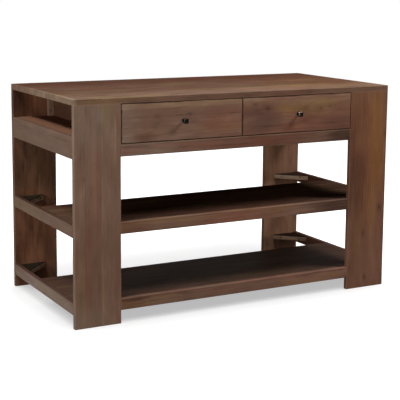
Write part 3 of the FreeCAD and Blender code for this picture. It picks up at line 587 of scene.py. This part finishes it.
zinc = metal("zinc_steel", {
    "low": (150, 152, 154), "high": (186, 188, 190), "metallic": 1.0, "rough": 0.34,
    "brushed": (2000.0, 30.0, 2000.0),
})
screwSteel = metal("screw_steel", {
    "low": (110, 108, 104), "high": (150, 148, 144), "metallic": 1.0, "rough": 0.4,
    "brushed": (1500.0, 1500.0, 1500.0),
})
knobBronze = {
    "low": (10, 9, 7), "high": (18, 16, 12), "metallic": 0.0, "rough": 0.4, "gloss": 0.04,
    "brushed": (600.0, 600.0, 600.0),
    "highlightWidth": (0.0004, 0.0018),  # from an arris
    "highlightFrom": (0.001, 0.009),  # up and to the left of the head's centre
}
knobHead = 0.009  # front to back
bronze = {}
# painted highlight colours for the upper left arrises of the knob heads, brighter on the right knob
for side, paintedHighlight in (("left", (112, 104, 88)), ("right", (226, 206, 180))):
    low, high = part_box(side + "_knob")
    head = (low, Vector((high.x, low.y + knobHead, high.z)))
    bronze[side + "_knob"] = metal(side + "_knob_bronze", dict(knobBronze, rimWearAndPaintedLight=head, paintedHighlight=paintedHighlight))
for name in nodes:
    if "_slide_" in name:
        dress(nodes[name], zinc)
    elif name.endswith("_knob"):
        dress(nodes[name], bronze[name])
    elif name.endswith("_bolt") or name == "frame_screws":
        dress(nodes[name], screwSteel)
print("metals finished")


# modelling helpers

def startBlock(name, low, high):  # a cube brought to a box's size
    bpy.ops.object.select_all(action="DESELECT")
    bpy.ops.mesh.primitive_cube_add(size=1.0, location=(low + high) / 2)
    piece = bpy.context.object
    piece.name = piece.data.name = name
    piece.scale = high - low
    bpy.ops.object.transform_apply(location=True, rotation=True, scale=True)
    return piece


def choose(piece, kind, test):  # edit mode, with the corners, edges or faces that pass the test selected
    bpy.ops.object.mode_set(mode="EDIT")
    bpy.ops.mesh.select_mode(type=kind)
    bpy.ops.mesh.select_all(action="DESELECT")
    bpy.ops.object.mode_set(mode="OBJECT")
    mesh = piece.data
    if kind == "VERT":
        for corner in mesh.vertices:
            corner.select = test(corner.co)
    elif kind == "EDGE":
        for edge in mesh.edges:
            edge.select = test(*[mesh.vertices[index].co for index in edge.vertices])
    else:
        for face in mesh.polygons:
            face.select = test(face.center, face.normal)
    bpy.ops.object.mode_set(mode="EDIT")


def leaveEdit():
    bpy.ops.object.mode_set(mode="OBJECT")


def boxSides(points, low, high):  # faces of the box that all the points lie in, such as x- and z+
    found = set()
    for index, letter in enumerate("xyz"):
        for limit, sign in ((low, "-"), (high, "+")):
            if all(abs(point[index] - limit[index]) < 1e-5 for point in points):
                found.add(letter + sign)
    return found


def settle(piece, node, material):  # the piece takes a node's place
    dress(piece, material)
    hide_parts(node)
    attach(piece, nodes[node]["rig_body"])


# boards with hand-rounded arrises

softLook = {"round": 0.0026, "steps": 3, "every": 0.055, "wander": 0.0003}


def softBoard(node, edges, look, seed):
    # edges: x rounds the arrises that run that way, y- those round that face,
    # y- z+ the one between two faces
    low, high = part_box(node)
    piece = startBlock("worn_" + node, low, high)
    size = high - low
    long = "xyz"[max(range(3), key=lambda index: size[index])]

    def runsLong(*ends):
        return long not in [side[0] for side in boxSides(ends, low, high)]

    def isRounded(*ends):
        sides = boxSides(ends, low, high)
        letters = [side[0] for side in sides]
        rules = [rule not in letters if len(rule) == 1 else set(rule.split()) <= sides for rule in edges]
        return len(sides) == 2 and any(rules)

    choose(piece, "EDGE", runsLong)
    bpy.ops.mesh.subdivide(number_cuts=round(max(size) / look["every"]))
    choose(piece, "EDGE", isRounded)
    bpy.ops.mesh.bevel(offset=look["round"], segments=look["steps"], profile=0.5, affect="EDGES")
    choose(piece, "VERT", lambda corner: not boxSides([corner], low, high))
    bpy.ops.transform.vertex_random(offset=look["wander"], seed=seed)
    leaveEdit()
    bpy.ops.object.shade_smooth_by_angle(angle=math.radians(40))
    bpy.ops.object.modifier_add(type="WEIGHTED_NORMAL")
    piece.modifiers[-1].keep_sharp = True
    bpy.ops.object.modifier_apply(modifier=piece.modifiers[-1].name)
    settle(piece, node, woods[node])


softEdges = {
    "top_board": ("z", "z+"), "back_apron": ("x",), "drawer_divider": ("y",),
    "drawer_rail": ("y- z+", "y- z-", "y+ z-"),  # sharp behind the drawers, so the gap stays dark
    "left_drawer_front": ("y-",), "right_drawer_front": ("y-",),
}
for place in ("front_left", "front_right", "back_left", "back_right"):
    softEdges[place + "_leg"] = ("z", "z-")
for level in ("middle", "bottom"):
    for part in ("front_rail", "shelf_panel", "rear_rail"):
        softEdges[f"{level}_{part}"] = ("x",)
for side in ("left", "right"):
    for part in ("bay_side", "upper_end_rail", "middle_end_rail", "bottom_end_rail", "end_shelf"):
        softEdges[f"{side}_{part}"] = ("y",)
for index, (node, edges) in enumerate(softEdges.items()):
    softBoard(node, edges, softLook, index + 1)
print("rounded boards:", len(softEdges))


# knobs: square foot, waisted neck, cushioned square head

knobShape = {
    "foot": 0.0138, "plinth": 0.0016,
    "neck": ((0.0036, 0.0112), (0.0085, 0.0090), (0.0130, 0.0102), (0.0165, 0.0128)),  # distance out, square
    "headStart": 0.0170, "head": 0.0200, "cushion": 0.0009, "cushionInset": 0.0042,
    "neckRound": 0.0009, "headRound": 0.0010,
}


def squareUp(piece, centre, out, size, oldOut, oldSize):  # one more square section, further out
    def isEnd(middle, normal):
        return normal.y < -0.9 and abs(centre.y - middle.y - oldOut) < 1e-5

    choose(piece, "FACE", isEnd)
    bpy.ops.mesh.extrude_region_move(TRANSFORM_OT_translate={"value": (0.0, oldOut - out, 0.0)})
    share = size / oldSize
    bpy.ops.transform.resize(value=(share, 1.0, share), center_override=centre - Vector((0.0, out, 0.0)))


def makeKnob(node, shape):
    low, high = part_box(node)
    centre = Vector(((low.x + high.x) / 2, high.y, (low.z + high.z) / 2))
    reach = high.y - low.y
    half = shape["foot"] / 2
    corner = Vector((half, 0.0, half))
    piece = startBlock("square_" + node, centre - corner - Vector((0, shape["plinth"], 0)), centre + corner)
    sections = [(shape["plinth"], shape["foot"]), *shape["neck"]]
    sections += [(shape["headStart"], shape["head"]), (reach - shape["cushion"], shape["head"])]
    for (oldOut, oldSize), (out, size) in zip(sections, sections[1:]):
        squareUp(piece, centre, out, size, oldOut, oldSize)
    bpy.ops.mesh.inset(thickness=shape["cushionInset"])
    bpy.ops.transform.translate(value=(0.0, -shape["cushion"], 0.0))
    headFrom = centre.y - shape["headStart"] + 1e-5
    rim = centre.y - reach + 1.5 * shape["cushion"]

    def onHead(*ends):
        return all(end.y < headFrom for end in ends) and any(end.y > rim - 1e-3 for end in ends)

    def onNeck(*ends):
        return abs(ends[0].y - ends[1].y) > 1e-3 and all(end.y > headFrom for end in ends)

    choose(piece, "EDGE", onHead)
    bpy.ops.mesh.bevel(offset=shape["headRound"], segments=3, profile=0.5, affect="EDGES")
    choose(piece, "EDGE", onNeck)
    bpy.ops.mesh.bevel(offset=shape["neckRound"], segments=2, profile=0.5, affect="EDGES")
    leaveEdit()
    bpy.ops.object.shade_smooth_by_angle(angle=math.radians(38))
    settle(piece, node, bronze[node])


for side in ("left", "right"):
    makeKnob(side + "_knob", knobShape)
print("knobs modelled")


# cross-head screws: one pattern along Z with its head at the top, copied to each place

def makeScrew(name, shape):
    bpy.ops.object.select_all(action="DESELECT")
    bpy.ops.mesh.primitive_cylinder_add(vertices=24, radius=shape["headRadius"], depth=shape["headHeight"])
    screw = bpy.context.object
    screw.name = screw.data.name = name
    screw.location.z = shape["headHeight"] / 2
    bpy.ops.object.transform_apply(location=True, rotation=False, scale=False)
    choose(screw, "EDGE", lambda *ends: all(end.z > shape["headHeight"] - 1e-5 for end in ends))
    bpy.ops.mesh.bevel(offset=shape["headRound"], segments=3, profile=0.5, affect="EDGES")
    choose(screw, "FACE", lambda middle, normal: normal.z < -0.9)
    bpy.ops.mesh.inset(thickness=shape["headRadius"] - shape["shankRadius"])
    shank = (0, 0, shape["point"] - shape["length"])
    bpy.ops.mesh.extrude_region_move(TRANSFORM_OT_translate={"value": shank})
    bpy.ops.mesh.extrude_region_move(TRANSFORM_OT_translate={"value": (0, 0, -shape["point"])})
    tipAt = (0, 0, -shape["length"])
    bpy.ops.transform.resize(value=(shape["tip"], shape["tip"], 1.0), center_override=tipAt)
    leaveEdit()
    for turn in (0.0, math.pi / 2):  # the cross recess
        half = Vector((shape["slot"] / 2, shape["slotWidth"] / 2, shape["slotDepth"]))
        cutter = startBlock("recess", -half, half)
        cutter.location.z = shape["headHeight"]
        cutter.rotation_euler.z = turn
        choose(cutter, "FACE", lambda middle, normal: normal.z < -0.9)
        bpy.ops.transform.resize(value=shape["slotTaper"])
        leaveEdit()
        bpy.context.view_layer.objects.active = screw
        bpy.ops.object.modifier_add(type="BOOLEAN")
        screw.modifiers[-1].object = cutter
        bpy.ops.object.modifier_apply(modifier=screw.modifiers[-1].name)
        bpy.data.objects.remove(cutter)
    bpy.ops.object.select_all(action="DESELECT")
    screw.select_set(True)
    bpy.ops.object.shade_smooth_by_angle(angle=math.radians(35))
    return screw


def setScrew(pattern, name, seat, heading):  # seat: under the head; heading: from the tip to the head
    screw = pattern.copy()
    screw.data = pattern.data.copy()
    screw.name = screw.data.name = name
    bpy.context.scene.collection.objects.link(screw)
    screw.location = seat
    screw.rotation_euler = heading.to_track_quat("Z", "Y").to_euler()
    bpy.ops.object.select_all(action="DESELECT")
    screw.select_set(True)
    bpy.context.view_layer.objects.active = screw
    bpy.ops.object.transform_apply(location=True, rotation=True, scale=True)
    return screw


def looseParts(node):  # boxes and corners of the separate solids in a node
    piece = nodes[node].copy()
    piece.data = nodes[node].data.copy()
    piece.parent = None
    bpy.context.scene.collection.objects.link(piece)
    bpy.ops.object.select_all(action="DESELECT")
    piece.select_set(True)
    bpy.context.view_layer.objects.active = piece
    bpy.ops.object.mode_set(mode="EDIT")
    bpy.ops.mesh.select_all(action="SELECT")
    bpy.ops.mesh.remove_doubles(threshold=1e-6)
    bpy.ops.mesh.separate(type="LOOSE")
    leaveEdit()
    parts = []
    for part in list(bpy.context.selected_objects):
        parts.append([corner.co.copy() for corner in part.data.vertices])
        bpy.data.objects.remove(part)
    return parts


woodScrew = {
    "headRadius": 0.0040, "headHeight": 0.0030, "headRound": 0.0013,
    "shankRadius": 0.0020, "length": 0.0230, "point": 0.0050, "tip": 0.25,
    "slot": 0.0046, "slotWidth": 0.0010, "slotDepth": 0.0018, "slotTaper": (0.55, 0.7, 1.0),
}
pattern = makeScrew("wood_screw", woodScrew)
screws = []
for points in looseParts("frame_screws"):
    low = Vector([min(point[index] for point in points) for index in range(3)])
    high = Vector([max(point[index] for point in points) for index in range(3)])
    run = max(range(3), key=lambda index: (high - low)[index])
    middle = (low + high) / 2
    reach = woodScrew["headRadius"] * 0.8  # only a head is wider
    offAxis = [point - middle - (point - middle)[run] * axes["xyz"[run]] for point in points]
    wide = [point for point, off in zip(points, offAxis) if off.length > reach]
    headAt = sum(point[run] for point in wide) / len(wide)
    heading = axes["xyz"[run]] * (1 if headAt > middle[run] else -1)
    seat = middle + heading * ((high - low)[run] / 2 - woodScrew["headHeight"])
    screws.append(setScrew(pattern, f"wood_screw_{len(screws) + 1:02d}", seat, heading))
bpy.data.objects.remove(pattern)
for screw in screws:
    screw.select_set(True)
bpy.context.view_layer.objects.active = screws[0]
bpy.ops.object.join()
screws[0].name = screws[0].data.name = "wood_screws"
settle(screws[0], "frame_screws", screwSteel)

knobBolt = dict(woodScrew, headRadius=0.0045, headRound=0.0016, length=0.0320, point=0.0008, tip=0.7)
pattern = makeScrew("knob_bolt", knobBolt)
for side in ("left", "right"):
    low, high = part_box(side + "_knob_bolt")
    seat = Vector(((low.x + high.x) / 2, high.y - knobBolt["headHeight"], (low.z + high.z) / 2))
    bolt = setScrew(pattern, side + "_pan_head_bolt", seat, axes["y"])
    settle(bolt, side + "_knob_bolt", screwSteel)
bpy.data.objects.remove(pattern)
print("screws modelled:", len(screws), "and two knob bolts")


# drawer slides: rolled edges, ball cages between the members

slideShape = {
    "rolled": 0.00035, "wall": 0.0012, "ball": 0.0026, "ballPitch": 0.0165,
    "cage": 0.0005, "cageWidth": 0.0034,
    # shares of the carrier's length: outer balls to the rear and inner ones to the front,
    # so both stay inside the members at full reach
    "outerCage": (0.54, 0.98), "innerCage": (0.02, 0.48),
}


def rolledMember(node):  # copy of the node's own section with its long edges rolled over
    member = nodes[node].copy()
    member.data = nodes[node].data.copy()
    member.parent = None
    member.name = member.data.name = "rolled_" + node
    for key in list(member.keys()):
        del member[key]
    bpy.context.scene.collection.objects.link(member)
    bpy.ops.object.select_all(action="DESELECT")
    member.select_set(True)
    bpy.context.view_layer.objects.active = member
    bpy.ops.object.mode_set(mode="EDIT")
    bpy.ops.mesh.select_all(action="SELECT")
    bpy.ops.mesh.remove_doubles(threshold=1e-6)
    bpy.ops.mesh.dissolve_limited(angle_limit=math.radians(2))
    choose(member, "EDGE", lambda *ends: abs(ends[0].y - ends[1].y) > 0.05)
    bpy.ops.mesh.bevel(offset=slideShape["rolled"], segments=2, profile=0.5, affect="EDGES")
    leaveEdit()
    bpy.ops.object.shade_smooth_by_angle(angle=math.radians(50))
    settle(member, node, zinc)


def ballCage(name, body, start, end, shape):  # strip between two members with a ball at every pitch
    half = Vector((shape["cageWidth"] / 2, 0.0, shape["cage"] / 2))
    cage = startBlock(name, start - half, end + half)
    choose(cage, "EDGE", lambda *ends: abs(ends[0].y - ends[1].y) > 0.05)
    bpy.ops.mesh.bevel(offset=shape["cage"] / 3, segments=1, affect="EDGES")
    leaveEdit()
    count = int((end.y - start.y) / shape["ballPitch"])
    balls = []
    for index in range(count):
        spot = start + Vector((0.0, shape["ballPitch"] * (index + 0.5), 0.0))
        size = shape["ball"] / 2
        bpy.ops.mesh.primitive_uv_sphere_add(segments=8, ring_count=6, radius=size, location=spot)
        bpy.ops.object.transform_apply(location=True, rotation=True, scale=True)
        bpy.ops.object.shade_smooth()
        balls.append(bpy.context.object)
    for ball in balls:
        ball.select_set(True)
    cage.select_set(True)
    bpy.context.view_layer.objects.active = cage
    bpy.ops.object.join()
    dress(cage, zinc)
    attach(cage, body)


for node in [name for name in nodes if "_slide_" in name]:
    rolledMember(node)
for side in ("left", "right"):
    for where in ("end", "middle"):
        stem = f"{side}_{where}"
        channelLow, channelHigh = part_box(stem + "_slide_channel")
        low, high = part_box(stem + "_slide_carrier")
        runnerLow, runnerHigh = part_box(stem + "_slide_runner")
        wall = slideShape["wall"]
        outer = ((channelLow.z + wall + low.z) / 2, (channelHigh.z - wall + high.z) / 2)
        inner = ((low.z + wall + runnerLow.z) / 2, (high.z - wall + runnerHigh.z) / 2)
        across = (low.x + high.x) / 2
        length = high.y - low.y
        for label, heights in (("outer", outer), ("inner", inner)):
            first, last = slideShape[label + "Cage"]
            for level, height in zip(("lower", "upper"), heights):
                start = Vector((across, low.y + first * length, height))
                end = Vector((across, low.y + last * length, height))
                ballCage(f"{stem}_{label}_{level}_ball_cage", stem + "_carrier", start, end, slideShape)
print("slides finished")


# floor, light and camera

studio = {
    "target": Vector((0.0, 0.0, 0.45)),
    "lamps": (  # name, azimuth from the front to the right, elevation, distance, width, height, level
        ("keyLamp", 58.0, 46.0, 3.6, 0.8, 0.8, 0.74),
        ("rearLamp", 180.0, 60.0, 3.4, 2.0, 0.9, 0.06),
        ("leftHighLamp", -72.0, 50.0, 4.6, 0.8, 0.8, 0.50),
        ("leftLowLamp", -64.0, 8.0, 4.2, 0.8, 0.6, 0.24),
        ("frontLamp", -12.0, 0.0, 6.0, 1.7, 0.7, 0.28),
    ),
    "ambient": 0.03,
    "floorSize": 14.0,
    "floorGlow": 0.48,
    "floorPale": 0.62,
    "floorBounce": 0.30,
    "softboxSize": 7.0,  # hangs over the island and shades the floor only
    "softboxHeight": 3.0,
    "softboxPower": 265.0,
    "shadeCentre": (0.0, 0.17, 0.0),  # the floor's glow is lowest in this oblong, a painted shadow round the island, where the real shadows show too
    "shadeHalf": (0.62, 0.40, 0.0),
    "shadeReach": 0.56,  # and the painted shadow fades to white over this distance
}
white = (1.0, 1.0, 1.0, 1.0)


def seenDirectly(tree):  # camera, mirror and glass rays
    path = tree.nodes.new("ShaderNodeLightPath").outputs
    seen = calc(tree, "MAXIMUM", path["Is Camera Ray"], path["Is Glossy Ray"])
    return calc(tree, "MAXIMUM", seen, path["Is Transmission Ray"])


world = bpy.data.worlds.new("studio")
bpy.context.scene.world = world
world.use_nodes = True
worldTree = world.node_tree
worldTree.nodes.clear()
soft = put(worldTree, "ShaderNodeBackground", {"Color": white, "Strength": studio["ambient"]}).outputs[0]
backdrop = put(worldTree, "ShaderNodeBackground", {"Color": white, "Strength": 1.0}).outputs[0]
mixed = put(worldTree, "ShaderNodeMixShader", {0: seenDirectly(worldTree), 1: soft, 2: backdrop}).outputs[0]
put(worldTree, "ShaderNodeOutputWorld", {"Surface": mixed})

bpy.ops.object.select_all(action="DESELECT")
bpy.ops.mesh.primitive_plane_add(size=studio["floorSize"], location=(0, 0, 0))
floor = bpy.context.object
floor.name = "floor"
floorMaterial = bpy.data.materials.new("pale_floor")
floorMaterial.use_nodes = True
floorTree = floorMaterial.node_tree
floorTree.nodes.clear()
pale = studio["floorPale"]
matt = put(floorTree, "ShaderNodeBsdfDiffuse", {"Color": (pale, pale, pale, 1.0)}).outputs[0]
onFloor = floorTree.nodes.new("ShaderNodeTexCoord").outputs["Object"]
away = vectorCalc(floorTree, "SUBTRACT", onFloor, studio["shadeCentre"])
away = vectorCalc(floorTree, "SUBTRACT", vectorCalc(floorTree, "ABSOLUTE", away), studio["shadeHalf"])
away = vectorCalc(floorTree, "LENGTH", vectorCalc(floorTree, "MAXIMUM", away, (0.0, 0.0, 0.0)))
# painted shadow: the floor's glow is lowest round the island and rises to white further out
fade = ease(floorTree, away, 0.0, studio["shadeReach"], studio["floorGlow"], 1.0)
dull = studio["floorBounce"]
bounce = put(floorTree, "ShaderNodeBsdfDiffuse", {"Color": (dull, dull, dull, 1.0)}).outputs[0]
glow = put(floorTree, "ShaderNodeEmission", {"Color": white, "Strength": fade}).outputs[0]
both = put(floorTree, "ShaderNodeAddShader", {0: matt, 1: glow}).outputs[0]
shown = put(floorTree, "ShaderNodeMixShader", {0: seenDirectly(floorTree), 1: bounce, 2: both}).outputs[0]
put(floorTree, "ShaderNodeOutputMaterial", {"Surface": shown})
floor.data.materials.append(floorMaterial)

# the floor takes its light from the softbox, the island from the lamps
floorOnly = bpy.data.collections.new("floor_only")
floorOnly.objects.link(floor)
allButFloor = bpy.data.collections.new("all_but_floor")
allButFloor.objects.link(floor)
allButFloor.collection_objects[0].light_linking.link_state = "EXCLUDE"
softbox = bpy.data.objects.new("softbox", bpy.data.lights.new("softbox", "AREA"))
bpy.context.scene.collection.objects.link(softbox)
softbox.data.size = studio["softboxSize"]
softbox.data.energy = studio["softboxPower"]
softbox.location.z = studio["softboxHeight"]
softbox.light_linking.receiver_collection = floorOnly


def addLamp(name, azimuth, elevation, distance, width, height, level):
    turn, rise = math.radians(azimuth), math.radians(elevation)
    towards = Vector((math.sin(turn) * math.cos(rise), -math.cos(turn) * math.cos(rise), math.sin(rise)))
    light = bpy.data.lights.new(name, "AREA")
    light.shape = "RECTANGLE"
    light.size, light.size_y = width, height
    light.energy = level * math.pi ** 2 * distance ** 2  # level 1 shows a facing colour as it is written
    lamp = bpy.data.objects.new(name, light)
    bpy.context.scene.collection.objects.link(lamp)
    lamp.location = studio["target"] + towards * distance
    lamp.rotation_euler = towards.to_track_quat("Z", "Y").to_euler()
    lamp.light_linking.receiver_collection = allButFloor


for lamp in studio["lamps"]:
    addLamp(*lamp)

view = {  # fitted to the edges of the island in the photograph
    "place": Vector((-2.3211, -4.2603, 1.3604)),
    "turn": math.radians(28.271),  # to the right of straight ahead
    "dip": math.radians(8.219),
    "roll": math.radians(0.4525),
    "lens": 99.06,
    "shift": (0.0102, -0.1461),
}
camera = bpy.data.objects.new("camera", bpy.data.cameras.new("camera"))
bpy.context.scene.collection.objects.link(camera)
bpy.context.scene.camera = camera
camera.data.sensor_width = 36.0
camera.data.lens = view["lens"]
camera.data.shift_x, camera.data.shift_y = view["shift"]
camera.location = view["place"]
facing = Matrix.Rotation(-view["turn"], 3, "Z") @ Matrix.Rotation(math.pi / 2 - view["dip"], 3, "X")
camera.rotation_euler = (facing @ Matrix.Rotation(view["roll"], 3, "Z")).to_euler()
bpy.context.scene.view_settings.view_transform = "Standard"
print("studio ready")
